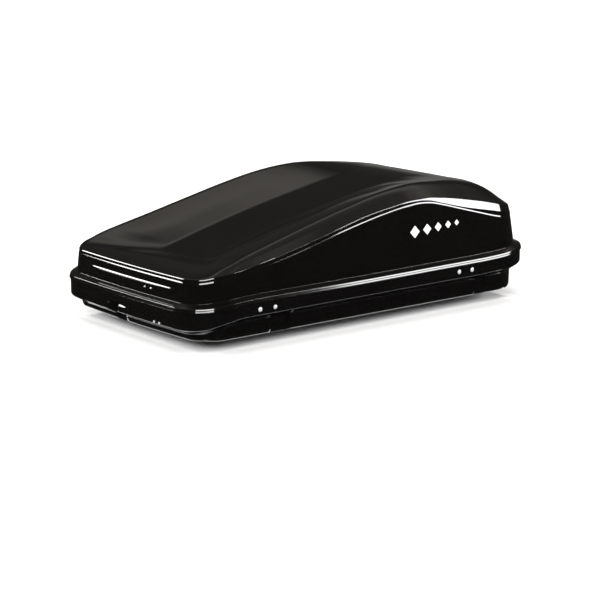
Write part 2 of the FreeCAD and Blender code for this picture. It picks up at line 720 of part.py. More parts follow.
def lock_cam():
    """Crank on the barrel's stem with a pin that drives the bar."""
    x0 = CAM_X - 3.0
    pin = lock_point(x0, CAM_START, CAM_RADIUS)
    hub = rod(9.0, V(x0, 0, LOCK_Z), V(CAM_X, 0, LOCK_Z))
    eye = rod(5.5, pin, pin + V(3, 0, 0))
    out = V(0, math.cos(CAM_START), math.sin(CAM_START))
    root = V(x0, 0, LOCK_Z)
    web = prism([root + out * 6, root - out * 6, pin - out * 5, pin + out * 5], V(3, 0, 0))
    peg = rod(3.0, pin + V(1, 0, 0), V(BAR_X - 1.0, pin.y, pin.z))
    crank = joined(hub, eye, web, peg)
    return drill(crank, [(V(x0 - 5, 0, LOCK_Z), V(CAM_X + 5, 0, LOCK_Z))], STEM_RADIUS)


def lock_bar():
    """Sliding bar with a slotted tab for the cam pin."""
    y = CAM_RADIUS * math.sin(CAM_START)
    strip = block(BAR_X, BAR_X + BAR_THICK, -BAR_HALF_LENGTH, BAR_HALF_LENGTH, BAR_Z[0], BAR_Z[1])
    tab = block(BAR_X, BAR_X + BAR_THICK, y - 9.0, y + 9.0, BAR_Z[0], 175.0)
    slot = block(BAR_X - 1, BAR_X + BAR_THICK + 1, y - 3.7, y + 3.7, 160.5, 172.8)
    return joined(strip, tab).cut(slot)


def latch_hooks():
    """J-shaped hooks under the bar; the toe slides beneath a striker stud."""
    hooks = []
    toe_top = STUD_Z - STUD_RADIUS - 1.5
    for y in HOOK_Y:
        tip = y - STUD_RADIUS - 4.0
        face = tip - 22.0
        shank = block(BAR_X - BAR_THICK, BAR_X, face - 16.0, face, toe_top - 8.5, BAR_Z[1] - 2.0)
        toe = block(BAR_X - BAR_THICK, BAR_X, face - 1.0, tip, toe_top - 8.5, toe_top)
        hooks.append(joined(shank, toe))
    return Part.makeCompound(hooks)


def bar_guides():
    """Blocks bonded to the lid wall that hold the bar."""
    guides = []
    for y in (-500.0, -180.0, 180.0, 500.0):
        z0, z1 = BAR_Z[0] - 4.0, BAR_Z[1] + 4.0
        near = [-min(wall_x(y - 8.0, z), wall_x(y + 8.0, z)) + LID_SKIN + 0.3 for z in (z0, z1)]
        near[0] = max(near[0], -398.8)
        inner = BAR_X + BAR_THICK + 4.0
        body = prism_xz([(near[0], z0), (near[1], z1), (inner, z1), (inner, z0)], y - 8.0, y + 8.0)
        slot = block(BAR_X - 0.4, BAR_X + BAR_THICK + 0.4, y - 20, y + 20,
                     BAR_Z[0] - 0.4, BAR_Z[1] + 0.4)
        guides.append(body.cut(slot))
    return Part.makeCompound(guides)


def strikers():
    """Plates riveted inside the rim band, each with a stud for one hook."""
    x0 = -(RIM_HALF_WIDTH - TUB_SKIN - 0.1)
    shapes = []
    _, _, spots = base_rivet_spots()
    for k, y in enumerate(HOOK_Y):
        plate = block(x0, x0 + 3.0, y - 23.0, y + 23.0, STUD_Z - 9.0, STUD_Z + 6.0)
        pin = rod(STUD_RADIUS, V(x0 + 1.0, y, STUD_Z), V(BAR_X + 2.0, y, STUD_Z))
        holes = [(p - d * 5, p + d * 12) for p, d in spots[2 * k:2 * k + 2]]
        shapes.append(drill(joined(plate, pin), holes, RIVET_RADIUS + 0.1))
    return Part.makeCompound(shapes)


# ---- crossbar clamps -------------------------------------------------------
def u_bolt(x, y):
    """Rod bent to a U that passes under the crossbar."""
    bend = 12.0
    top = KNOB_Z + KNOB_HEIGHT + 8.0
    z = -LOOP_DEPTH
    legs = [rod(ROD_RADIUS, V(x, y + s * LEG_HALF, z + bend), V(x, y + s * LEG_HALF, top))
            for s in (-1, 1)]
    floor = rod(ROD_RADIUS, V(x, y - LEG_HALF + bend, z), V(x, y + LEG_HALF - bend, z))
    bends = []
    for s in (-1, 1):
        c = V(x, y + s * (LEG_HALF - bend), z + bend)
        start = Part.Wire(Part.makeCircle(ROD_RADIUS, c + V(0, 0, -bend), V(0, 1, 0)))
        disc = Part.Face(start)
        bends.append(disc.revolve(c, V(s, 0, 0), 90))
    return joined(legs[0], legs[1], floor, *bends)


def clamp_plate(x, y):
    plate = block(x - 18.0, x + 18.0, y - 62.0, y + 62.0, PLATE_Z, PLATE_Z + PLATE_THICK)
    upright = [e for e in plate.Edges if abs(e.tangentAt(e.FirstParameter).z) > 0.9]
    plate = plate.makeFillet(8.0, upright)
    holes = [(V(x, y + s * LEG_HALF, -5), V(x, y + s * LEG_HALF, 30)) for s in (-1, 1)]
    return drill(plate, holes, ROD_RADIUS + 0.05)


def wing_knob(x, y):
    """Star knob on one leg, five lobes and a raised hub."""
    z0, z1 = KNOB_Z, KNOB_Z + KNOB_HEIGHT
    hub = rod(9.0, V(x, y, z0), V(x, y, z1))
    skirt = rod(13.0, V(x, y, z0 + 3.0), V(x, y, z1 - 3.0))
    lobes = []
    for k in range(5):
        a = 2 * math.pi * k / 5
        p = V(x + 14.0 * math.cos(a), y + 14.0 * math.sin(a), z0 + 3.0)
        lobes.append(rod(5.0, p, p + V(0, 0, z1 - z0 - 6.0)))
    knob = joined(hub, skirt, *lobes)
    return drill(knob, [(V(x, y, z0 - 5), V(x, y, z1 + 5))], ROD_RADIUS + RUNNING)


# ---- nodes -----------------------------------------------------------------
def nodes():
    hinge_spots, stay_spots, striker_spots = base_rivet_spots()
    skin_and_plate = TUB_SKIN + 3.2
    yield "base_tub", base_tub()
    yield "rim_seal", rim_seal()
    yield "lid_shell", lid_shell()
    yield "side_decal", side_decal()
    for name, y, z in HINGES:
        yield "hinge_bracket_" + name, hinge_bracket(y, z)
        yield "hinge_arm_" + name, hinge_arm(y)
        yield "hinge_pin_" + name, hinge_pin(y)
    yield "hinge_rivets", rivet_group(hinge_spots, skin_and_plate)
    yield "stay_base_rivets", rivet_group(stay_spots, skin_and_plate + 1.0)
    yield "stay_lid_rivets", rivet_group(lid_rivet_spots(), LID_SKIN + 4.2)
    yield "striker_rivets", rivet_group(striker_spots, skin_and_plate)
    for name, end in (("nose", -1), ("tail", 1)):
        yield "stay_base_bracket_" + name, stay_base_bracket(end)
        yield "stay_lid_bracket_" + name, stay_lid_bracket(end)
        yield "stay_lower_arm_" + name, stay_lower_arm(end)
        yield "stay_upper_arm_" + name, stay_upper_arm(end)
        yield "stay_knee_pin_" + name, stay_knee_pin(end)
    yield "lock_housing", lock_housing()
    yield "lock_nut", lock_nut()
    yield "lock_barrel", lock_barrel()
    yield "key", key()
    yield "lock_cam", lock_cam()
    yield "lock_bar", lock_bar()
    yield "latch_hooks", latch_hooks()
    yield "bar_guides", bar_guides()
    yield "strikers", strikers()
    for y, row in zip(CLAMP_Y, ("front", "rear")):
        for x, side in ((-CLAMP_X, "right"), (CLAMP_X, "left")):
            place = row + "_" + side
            yield "u_bolt_" + place, u_bolt(x, y)
            yield "clamp_plate_" + place, clamp_plate(x, y)
            yield "wing_knob_a_" + place, wing_knob(x, y - LEG_HALF)
            yield "wing_knob_b_" + place, wing_knob(x, y + LEG_HALF)


os.makedirs("parts", exist_ok=True)
for node, shape in nodes():
    shape.exportStep("parts/%s.step" % node)
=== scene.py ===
import bpy
import json
import math
import numpy as np
from mathutils import Matrix, Vector


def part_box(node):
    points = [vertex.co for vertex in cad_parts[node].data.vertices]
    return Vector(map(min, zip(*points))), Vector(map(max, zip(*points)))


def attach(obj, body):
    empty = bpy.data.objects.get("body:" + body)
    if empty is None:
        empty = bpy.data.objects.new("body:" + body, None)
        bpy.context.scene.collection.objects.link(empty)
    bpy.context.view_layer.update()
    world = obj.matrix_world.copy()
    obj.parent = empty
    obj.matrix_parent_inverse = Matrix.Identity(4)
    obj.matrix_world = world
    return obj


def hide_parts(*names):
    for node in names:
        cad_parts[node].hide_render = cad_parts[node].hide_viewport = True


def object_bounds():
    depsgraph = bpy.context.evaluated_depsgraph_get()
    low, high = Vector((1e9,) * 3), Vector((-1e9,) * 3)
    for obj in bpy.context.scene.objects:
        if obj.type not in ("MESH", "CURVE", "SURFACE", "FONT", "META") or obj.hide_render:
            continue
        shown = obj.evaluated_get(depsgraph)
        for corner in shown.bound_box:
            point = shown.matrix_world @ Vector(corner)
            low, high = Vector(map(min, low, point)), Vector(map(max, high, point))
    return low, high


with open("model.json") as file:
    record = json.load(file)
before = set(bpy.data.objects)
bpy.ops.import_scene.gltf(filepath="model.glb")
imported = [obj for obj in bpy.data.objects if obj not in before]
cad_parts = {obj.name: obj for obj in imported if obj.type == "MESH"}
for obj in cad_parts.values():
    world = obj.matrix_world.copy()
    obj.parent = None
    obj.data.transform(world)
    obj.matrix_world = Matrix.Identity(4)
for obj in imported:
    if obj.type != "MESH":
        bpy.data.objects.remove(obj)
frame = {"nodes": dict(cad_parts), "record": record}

CAD_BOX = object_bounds()
MM = 0.001

# ---- curves along the box: y and value in mm, as in the CAD shells --------------
SEAM = ((-760, 101), (-720, 103), (-680, 107), (-640, 112), (-600, 116), (-520, 120),
        (-454, 121), (-136, 122), (80, 124), (246, 126), (446, 128), (541, 131),
        (620, 137), (700, 142), (760, 144))
BAND_LOW = ((-760, 42), (-700, 48), (-640, 66), (-560, 78), (-450, 79), (250, 83),
            (446, 84), (560, 88), (700, 95), (760, 96))
STEP_LINE = ((-720, 188), (-690, 190), (-638, 199), (-568, 204), (-520, 211), (-481, 219),
             (-298, 259), (-131, 302), (33, 337), (130, 352), (195, 357), (240, 354),
             (300, 341), (381, 319), (470, 295), (554, 273), (640, 256), (700, 245))
FACET_LOW = ((-710, 198), (-680, 200), (-638, 209), (-568, 214), (-520, 221), (-481, 229),
             (-298, 270), (-127, 314), (-45, 334), (79, 355), (150, 364), (195, 365),
             (240, 361), (300, 346), (412, 318), (558, 289), (640, 272), (700, 258))
FACET_HIGH = ((-710, 202), (-680, 205), (-638, 214), (-568, 219), (-520, 226), (-481, 234),
              (-298, 275), (-127, 319), (-45, 339), (79, 360), (163, 370), (232, 371),
              (302, 364), (481, 333), (615, 304), (690, 293), (710, 291))
CREST = ((-670, 206), (-640, 214), (-600, 233.5), (-533, 255.5), (-409, 287.5), (-213, 337.5),
         (-78, 370), (77, 402), (173, 413), (230, 416), (272, 415), (350, 408),
         (440, 397), (492, 387), (560, 369), (600, 355), (643, 339), (675, 328))
CREST_HALF_WIDTH = ((-670, 372), (-590, 379), (-533, 378), (-409, 371), (-213, 362),
                    (-78, 356), (77, 345), (173, 337), (272, 325), (350, 317), (440, 308),
                    (675, 300))
RIDGE = ((-620, 208), (-600, 209), (-570, 218), (-540, 230), (-508, 243), (-341, 287),
         (-127, 340), (94, 385), (262, 403), (350, 404), (440, 400), (520, 389),
         (600, 367), (640, 351))
PANEL = ((-520, 207), (-500, 212), (-341, 255), (-127, 308), (94, 354), (262, 384),
         (350, 397), (420, 400), (480, 396), (525, 388))

RIM_HALF_WIDTH, RIM_NOSE_Y, RIM_TAIL_Y = 428.0, -733.0, 728.0
NOSE_RADIUS, TAIL_RADIUS, NOSE_BOW, TAIL_BOW = 130.0, 158.0, 14.0, 19.0
LIP_PROUD, LIP_SKIN, LID_SKIN, TUB_SKIN = 4.0, 3.0, 3.5, 4.0
WALL_INSET, SLOPE_DROP, SEAM_GAP = 36.0, 23.0, 1.0
STEP_RUN, STEP_RISE, FACET_LEAN = 1.7, 4.8, 0.32
FOOT_RISE = 20.0

# Plan of a ring: y of the nose, y of the tail, corner radius at the nose and at the tail.
FOOT_PLAN = (-711.0, 706.0, 106.0, 134.0)
BELT_PLAN = (-703.0, 697.0, 100.0, 126.0)
CREST_PLAN = (-655.0, 655.0, 105.0, 110.0)
RIDGE_PLAN = (-600.0, 605.0, 62.0, 90.0)
PANEL_PLAN = (-515.0, 520.0, 40.0, 60.0)
PANEL_INNER_PLAN = (-489.0, 494.0, 16.0, 34.0)
FOOT_HALF_WIDTH, BELT_HALF_WIDTH, RIDGE_HALF_WIDTH = 403.0, 399.0, 250.0
PANEL_HALF_WIDTH, PANEL_INNER_HALF_WIDTH = 122.0, 96.0
RIDGE_BOW_SHARE, INNER_ROUNDING = 0.6, 0.6
BELT_NARROWING, NARROWING_FROM, NARROWING_OVER = 9.0, 150.0, 350.0
BELT_NOSE_END, BELT_TAIL_END = -600.0, 560.0
UPRIGHT_FROM, UPRIGHT_TO, UPRIGHT_LEAN_LOST = -600.0, -420.0, 0.5
UPRIGHT_FADE_IN, UPRIGHT_FADE_OUT = 12.0, 60.0

# Lip of the lid from its lower edge up: how far it stands proud, rise above the seam, rounding.
LIP_PROFILE = ((LIP_PROUD, 0.0, 0.6), (LIP_PROUD, 1.0, 0.5), (2.65, 5.6, 0.5),
               (2.65, 7.0, 0.5), (1.1, 12.2, 1.0))

# Bead across the nose of the lid: fractions of the wall's height, and how it tapers out.
BEAD_LOW, BEAD_MID, BEAD_HIGH, BEAD_LIFT = 0.54, 0.585, 0.65, 1.6
BEAD_HALF_LENGTH, BEAD_FADE, BEAD_TAPER = 272.0, 120.0, 0.6
NOSE_ONLY_Y = -600.0


def curve(table, y):
    """Smooth monotone curve through a table, for an array of y."""
    x = np.array([r[0] for r in table], float)
    v = np.array([r[1] for r in table], float)
    y = np.clip(np.asarray(y, float), x[0], x[-1])
    h = np.diff(x)
    d = np.diff(v) / h
    m = np.zeros(len(x))
    m[0], m[-1] = d[0], d[-1]
    for k in range(1, len(x) - 1):
        if d[k - 1] * d[k] > 0:
            m[k] = 2 * d[k - 1] * d[k] / (d[k - 1] + d[k])
    i = np.clip(np.searchsorted(x, y, side="right") - 1, 0, len(h) - 1)
    t = (y - x[i]) / h[i]
    a = v[i] * (1 + 2 * t) * (1 - t) ** 2 + v[i + 1] * t * t * (3 - 2 * t)
    b = m[i] * t * (1 - t) ** 2 - m[i + 1] * t * t * (1 - t)
    return a + h[i] * b


# ---- rings -------------------------------------------------------------------
END, CORNER, SIDE = 16, 20, 141         # points on half an end, a corner and a side
SIDE_STATIONS = np.linspace(-1.0, 1.0, SIDE)
NOSE_STATIONS = np.arange(END) / END


def half_plan(width, nose, tail, r_nose, r_tail, bow_nose, bow_tail, side, front):
    """Half of a bowed plan outline, from the middle of the nose to the middle of the tail."""
    wn = float(width(nose + r_nose))
    wt = float(width(tail - r_tail))
    xn, xt = wn - r_nose, wt - r_tail
    a = np.pi / 2 * np.arange(CORNER) / CORNER
    fx = np.concatenate([xn * front, xn + r_nose * np.sin(a)])
    fy = np.concatenate([np.full(len(front), nose), nose + r_nose * (1 - np.cos(a))])
    fy = fy - bow_nose * (1 - (fx / wn) ** 2)
    y0, y1 = nose + r_nose, tail - r_tail
    sy = y0 + (y1 - y0) * (side + 1) / 2
    sx = np.broadcast_to(width(sy), sy.shape)
    a = a[1:]
    t = np.arange(END + 1) / END
    bx = np.concatenate([xt + r_tail * np.cos(a), xt * (1 - t)])
    by = np.concatenate([tail - r_tail * (1 - np.sin(a)), np.full(END + 1, tail)])
    by = by + bow_tail * (1 - (bx / wt) ** 2)
    return np.stack([np.concatenate([fx, sx, bx]), np.concatenate([fy, sy, by])], 1)


def ring(width, nose, tail, r_nose, r_tail, height, bowed=1.0, side=SIDE_STATIONS,
         front=NOSE_STATIONS):
    """Half ring in space: width and height are each a function of y, or width a number."""
    fn = width if callable(width) else (lambda y: width + 0 * np.asarray(y, float))
    p = half_plan(fn, nose, tail, r_nose, r_tail, NOSE_BOW * bowed, TAIL_BOW * bowed, side, front)
    return np.column_stack([p, height(p[:, 1])])


def inset_ring(d, height, side=SIDE_STATIONS, front=NOSE_STATIONS):
    """Half ring a distance d inside the rim."""
    return ring(RIM_HALF_WIDTH - d, RIM_NOSE_Y + d, RIM_TAIL_Y - d,
                NOSE_RADIUS - d, TAIL_RADIUS - d, height, 1.0, side, front)


def seam(y):
    return curve(SEAM, y)


def band_low(y):
    return curve(BAND_LOW, y)


def belt_width(y):
    past = (np.asarray(y, float) - NARROWING_FROM) / NARROWING_OVER
    return BELT_HALF_WIDTH - BELT_NARROWING * np.clip(past, 0, 1)


def step_line(y):
    return curve(STEP_LINE, y)


def upright(y):
    """Share of lean that is left on the belt: the front of each side stands straighter."""
    y = np.asarray(y, float)
    fade_in = np.clip((y - UPRIGHT_FROM) / UPRIGHT_FADE_IN, 0, 1)
    return 1 - UPRIGHT_LEAN_LOST * fade_in * np.clip((UPRIGHT_TO - y) / UPRIGHT_FADE_OUT, 0, 1)


def step_run(y):
    return STEP_RUN * upright(y)


def facet_depth(y):
    return (curve(FACET_HIGH, y) - curve(FACET_LOW, y)) * FACET_LEAN * upright(y)


def belt_ring(inset, height):
    """Ring on the moulded belt of the lid, inset from the top of the side wall."""
    at_nose, at_tail = float(inset(BELT_NOSE_END)), float(inset(BELT_TAIL_END))
    nose, tail, r_nose, r_tail = BELT_PLAN
    return ring(lambda y: belt_width(y) - inset(y), nose + at_nose, tail - at_tail,
                r_nose - at_nose, r_tail - at_tail, height)


def foot_ring():
    return ring(FOOT_HALF_WIDTH, *FOOT_PLAN, lambda y: seam(y) + FOOT_RISE)


def wall_top_ring():
    return belt_ring(lambda y: 0.0 * y, lambda y: step_line(y) - STEP_RISE / 2)


def wall_mid(t, lift=0.0):
    """Ring on the lid wall, a fraction t of the way up, pushed out at the nose by lift."""
    foot = foot_ring()
    mid = foot + (wall_top_ring() - foot) * t
    fade = np.clip((BEAD_HALF_LENGTH - np.abs(mid[:, 0])) / BEAD_FADE, 0, 1) ** BEAD_TAPER
    mid[:, 1] -= lift * fade * (mid[:, 1] < NOSE_ONLY_Y)
    return mid


def lid_rings():
    """Rings from the lip to the roof panel, each with the size of its rounding."""
    lip = [(inset_ring(-proud, lambda y, rise=rise: seam(y) + rise), rounding)
           for proud, rise, rounding in LIP_PROFILE]
    return lip + [
        (foot_ring(), 0.9),
        (wall_mid(BEAD_LOW), 0.8),
        (wall_mid(BEAD_MID, BEAD_LIFT), 0.8),
        (wall_mid(BEAD_HIGH), 0.8),
        (wall_top_ring(), 1.0),
        (belt_ring(step_run, lambda y: step_line(y) + STEP_RISE / 2), 1.0),
        (belt_ring(step_run, lambda y: curve(FACET_LOW, y)), 1.0),
        (belt_ring(lambda y: step_run(y) + facet_depth(y), lambda y: curve(FACET_HIGH, y)), 3.0),
        (ring(lambda y: curve(CREST_HALF_WIDTH, y), *CREST_PLAN, lambda y: curve(CREST, y)), 30.0),
        (ring(RIDGE_HALF_WIDTH, *RIDGE_PLAN, lambda y: curve(RIDGE, y), RIDGE_BOW_SHARE), 60.0),
        (ring(PANEL_HALF_WIDTH, *PANEL_PLAN, lambda y: curve(PANEL, y), 0.0), 16.0),
        (ring(PANEL_INNER_HALF_WIDTH, *PANEL_INNER_PLAN, lambda y: curve(PANEL, y), 0.0), 0.0),
    ]


def offset_rings(rings, thickness):
    """Rings moved inwards along the surface normal."""
    r = np.array(rings)
    along = np.gradient(r, axis=1)
    up = np.diff(r, axis=0)
    n = np.cross(along[:-1], up)
    n /= np.maximum(np.linalg.norm(n, axis=2, keepdims=True), 1e-9)
    total = np.zeros_like(r)
    total[:-1] += n
    total[1:] += n
    total[-1] += (0, 0, 1)
    total /= np.linalg.norm(total, axis=2, keepdims=True)
    out = r - total * thickness
    out[:, 0, 0] = 0
    out[:, -1, 0] = 0
    return [out[k] for k in range(len(rings))]


def rounded(rings, fillets, arcs=6):
    """Adds an arc at each inner ring and support levels in each span."""
    levels = [rings[0]]
    for k in range(1, len(rings)):
        prev, here = rings[k - 1], rings[k]
        nxt = rings[k + 1] if k + 1 < len(rings) else None
        a = prev - here
        la = np.linalg.norm(a, axis=1, keepdims=True)
        if nxt is None or fillets[k] == 0:
            levels += span_levels(levels[-1], here)
            levels.append(here)
            continue
        b = nxt - here
        lb = np.linalg.norm(b, axis=1, keepdims=True)
        d = np.minimum(fillets[k], 0.46 * np.minimum(la, lb))
        start = here + a / np.maximum(la, 1e-9) * d
        end = here + b / np.maximum(lb, 1e-9) * d
        levels += span_levels(levels[-1], start)
        for i in range(arcs + 1):
            t = i / arcs
            levels.append(start * (1 - t) ** 2 + here * 2 * t * (1 - t) + end * t * t)
    return levels


def span_levels(a, b):
    """Support levels between two rings, the outer ones close to the rings."""
    gap = np.linalg.norm(b - a, axis=1, keepdims=True)
    t1 = np.minimum(0.18, 2.5 / np.maximum(gap, 1e-6))
    return [a + (b - a) * t for t in (t1, 0.35, 0.65, 1 - t1)]


# ---- mesh of a shell -----------------------------------------------------------
def full_ring(half):
    """Closes a half ring with its mirror image."""
    left = half[1:-1][::-1].copy()
    left[:, 0] *= -1
    return np.vstack([half, left])


def grid_faces(first, second, count):
    return [(first + i, first + (i + 1) % count, second + (i + 1) % count, second + i)
            for i in range(count)]


def build(name, verts, faces):
    """Smooth-shaded object made of verts in metres and faces, linked to the scene."""
    me = bpy.data.meshes.new(name)
    me.from_pydata([tuple(v) for v in verts], [], faces)
    me.validate()
    me.update()
    me.polygons.foreach_set("use_smooth", [True] * len(me.polygons))
    ob = bpy.data.objects.new(name, me)
    bpy.context.scene.collection.objects.link(ob)
    return ob


def add_patch(verts, faces, base, n, flip):
    """Fills the ring that starts at base with rows of quads, for the middle of the roof."""
    columns = 2 * END
    out_v = [tuple(v) for v in verts]
    half = n // 2
    first, last = END, half - END
    rows = [[base + (first - c) % n for c in range(columns + 1)]]
    for i in range(first + 1, last):
        right, left = base + i, base + (n - i) % n
        pr, pl = np.array(out_v[right]), np.array(out_v[left])
        row = [right]
        for c in range(1, columns):
            out_v.append(tuple(pr + (pl - pr) * c / columns))
            row.append(len(out_v) - 1)
        rows.append(row + [left])
    rows.append([base + (last + c) % n for c in range(columns + 1)])
    for r0, r1 in zip(rows[:-1], rows[1:]):
        for c in range(columns):
            quad = (r0[c], r0[c + 1], r1[c + 1], r1[c])
            faces.append(quad[::-1] if flip else quad)
    return out_v, faces


def lid_object():
    """Lid shell: the outer rings, and fewer rings inside, which the moulded lines don't reach."""
    rows = lid_rings()
    outer = [r for r, _ in rows]
    fillets = [f for _, f in rows]
    first_lip, last_lip, wall_top = 0, len(LIP_PROFILE) - 1, len(LIP_PROFILE) + 4
    keep = [first_lip, last_lip, last_lip + 1] + list(range(wall_top, len(outer)))
    inner = offset_rings([outer[k] for k in keep], LID_SKIN)
    inner[0] = inset_ring(-LIP_PROUD + LIP_SKIN, seam)
    out_levels = rounded(outer, fillets)
    in_levels = rounded(inner, [fillets[k] * INNER_ROUNDING for k in keep], 2)
    stack = in_levels[::-1] + out_levels
    rings = [full_ring(level) for level in stack]
    n = len(rings[0])
    verts = np.vstack(rings) * MM
    faces = []
    for k in range(len(rings) - 1):
        faces += grid_faces(k * n, (k + 1) * n, n)
    verts, faces = add_patch(verts, faces, (len(rings) - 1) * n, n, True)
    verts, faces = add_patch(verts, faces, 0, n, False)
    return build("lid_skin", verts, faces)


# ---- tub ------------------------------------------------------------------------
SIDE_FLUTES = ((-433.0, -356.0), (457.0, 505.0))
NOSE_FLUTE = (-84.0, -29.0)
FLUTE_DEPTH, FLUTE_TOP, FLUTE_EDGE, FLUTE_WALL = 8.0, 70.0, 0.7, 3.6
SCOOP_X, SCOOP_Z, SCOOP_HALF, SCOOP_RISE, SCOOP_DEPTH = -35.0, 74.0, 66.0, 10.0, 4.5
SIDE_START, SIDE_END = RIM_NOSE_Y + NOSE_RADIUS, RIM_TAIL_Y - TAIL_RADIUS
FRONT_HALF = RIM_HALF_WIDTH - NOSE_RADIUS
TUB_END = 32                            # points on half of the tub's nose, closer than the lid's


def stations(plain, edges):
    """Plain stations with a close pair at each edge, in place of any that lie near it."""
    gap = 4 * FLUTE_EDGE
    kept = [p for p in plain if min(abs(p - e) for e in edges) > gap]
    pairs = [e + s * FLUTE_EDGE for e in edges for s in (-1, 1)]
    return np.array(sorted(kept + pairs))


def tub_ring(d, height):
    """Half ring a distance d inside the rim, with close points at the edges of the flutes."""
    side = stations(np.linspace(SIDE_START, SIDE_END, SIDE), [e for f in SIDE_FLUTES for e in f])
    front = stations(np.arange(TUB_END) / TUB_END * FRONT_HALF, [-e for e in NOSE_FLUTE])
    side = 2 * (side - SIDE_START) / (SIDE_END - SIDE_START) - 1
    return inset_ring(d, height, side, front / FRONT_HALF)


def band_ring(t):
    """Ring on the rim band, a fraction t of the way up."""
    return tub_ring(0, lambda y: band_low(y) + (seam(y) - SEAM_GAP - band_low(y)) * t)


def tub_object():
    """Tub shell: outer wall and rim band, then the inner wall from the rim down."""
    outer = [
        tub_ring(WALL_INSET + 16, lambda y: 0 * y),
        tub_ring(WALL_INSET + 6, lambda y: 3.5 + 0 * y),
        tub_ring(WALL_INSET + 2, lambda y: 12.0 + 0 * y),
        tub_ring(WALL_INSET, lambda y: band_low(y) - SLOPE_DROP),
        band_ring(0.0), band_ring(0.25), band_ring(0.45), band_ring(0.65), band_ring(0.85),
        band_ring(1.0),
    ]
    inner = [
        tub_ring(WALL_INSET + 18, lambda y: TUB_SKIN + 0 * y),
        tub_ring(WALL_INSET + 10, lambda y: 6.5 + 0 * y),
        tub_ring(WALL_INSET + 6, lambda y: 12.5 + 0 * y),
        tub_ring(WALL_INSET + 4, lambda y: band_low(y) - SLOPE_DROP + 3.0),
        tub_ring(TUB_SKIN, lambda y: band_low(y) + 2.0),
        tub_ring(TUB_SKIN, lambda y: seam(y) - SEAM_GAP),
    ]
    out_levels = with_ceiling(rounded(outer, [0, 7, 6, 9, 7, 0, 0, 0, 0, 0]))
    in_levels = with_ceiling(rounded(inner, [0, 4, 4, 8, 5, 0], 3))
    rings = [scooped(fluted(full_ring(r), 0.0)) for r in out_levels]
    rings += [fluted(full_ring(r), FLUTE_WALL) for r in in_levels[::-1]]
    n = len(rings[0])
    verts = np.vstack(rings) * MM
    faces = []
    for k in range(len(rings) - 1):
        faces += grid_faces(k * n, (k + 1) * n, n)
    faces.append(tuple(range(n))[::-1])
    base = (len(rings) - 1) * n
    faces.append(tuple(base + i for i in range(n)))
    return build("tub_skin", verts, faces)


def with_ceiling(levels):
    """Adds close pairs of levels where the stack passes the top of the flutes."""
    out = []
    for a, b in zip(levels[:-1], levels[1:]):
        out.append(a)
        rise = b[:, 2] - a[:, 2]
        steep = np.abs(rise) > 1e-6
        t = np.where(steep, (FLUTE_TOP - a[:, 2]) / np.where(steep, rise, 1.0), -1.0)
        crossing = (t > 0) & (t < 1)
        if crossing.any():
            for part, nudge in ((0.45, -FLUTE_EDGE), (0.55, FLUTE_EDGE)):
                at = np.where(crossing, t + nudge / np.where(steep, np.abs(rise), 1.0), part)
                out.append(a + (b - a) * np.clip(at, 0.03, 0.97)[:, None])
    out.append(levels[-1])
    return out


def fluted(points, grow):
    """Pushes the tub wall in at its upright flutes, below their tops."""
    p = points.copy()
    low = p[:, 2] < FLUTE_TOP + grow
    x_in = RIM_HALF_WIDTH - WALL_INSET - FLUTE_DEPTH - grow
    y_in = RIM_NOSE_Y + WALL_INSET + FLUTE_DEPTH + grow - NOSE_BOW
    for y0, y1 in SIDE_FLUTES:
        hit = low & (p[:, 1] > y0) & (p[:, 1] < y1)
        p[hit, 0] = np.sign(p[hit, 0]) * np.minimum(np.abs(p[hit, 0]), x_in)
    hit = low & (p[:, 0] > NOSE_FLUTE[0]) & (p[:, 0] < NOSE_FLUTE[1]) & (p[:, 1] < NOSE_ONLY_Y)
    p[hit, 1] = np.maximum(p[hit, 1], y_in)
    return p


def scooped(points):
    """Presses a shallow finger scoop into the nose of the rim band."""
    p = points.copy()
    across = 1 - ((p[:, 0] - SCOOP_X) / SCOOP_HALF) ** 2
    along = 1 - ((p[:, 2] - SCOOP_Z) / SCOOP_RISE) ** 2
    hit = (across > 0) & (along > 0) & (p[:, 1] < RIM_NOSE_Y + 10)
    p[hit, 1] += SCOOP_DEPTH * (across[hit] * along[hit]) ** 0.6
    return p


# ---- rivets, knobs and U-bolts ------------------------------------------------------
def islands(obj):
    """The separate solids of a CAD node, each as an array of points in millimetres."""
    me = obj.data
    pts = np.array([obj.matrix_world @ v.co for v in me.vertices]) / MM
    parent = list(range(len(pts)))

    def root(i):
        while parent[i] != i:
            parent[i] = parent[parent[i]]
            i = parent[i]
        return i

    for e in me.edges:
        parent[root(e.vertices[0])] = root(e.vertices[1])
    first = {}
    for i, p in enumerate(np.round(pts, 4)):
        j = first.setdefault(tuple(p), i)
        parent[root(i)] = root(j)
    groups = {}
    for i in range(len(pts)):
        groups.setdefault(root(i), []).append(i)
    return [pts[g] for g in groups.values()]


def rivet_frame(pts):
    """Centre of the head's rim, outward direction and depth of the tail."""
    mid = (pts.min(0) + pts.max(0)) / 2
    unique = np.unique(np.round(pts, 3), axis=0)
    values, vectors = np.linalg.eigh(np.cov((unique - unique.mean(0)).T))
    odd = 0 if values[1] - values[0] > values[2] - values[1] else 2
    axis = vectors[:, odd]
    for _ in range(3):
        along = (pts - mid) @ axis
        radial = np.linalg.norm(pts - mid - np.outer(along, axis), axis=1)
        rim = pts[radial > radial.max() * 0.97]
        tail = along.min() if ((rim - mid) @ axis).mean() > 0 else along.max()
        foot = pts[np.abs(along - tail) < 0.05]
        axis = rim.mean(0) - foot.mean(0)
        axis /= np.linalg.norm(axis)
        mid = rim.mean(0)
    along = (pts - mid) @ axis
    return mid, axis, -along.min()


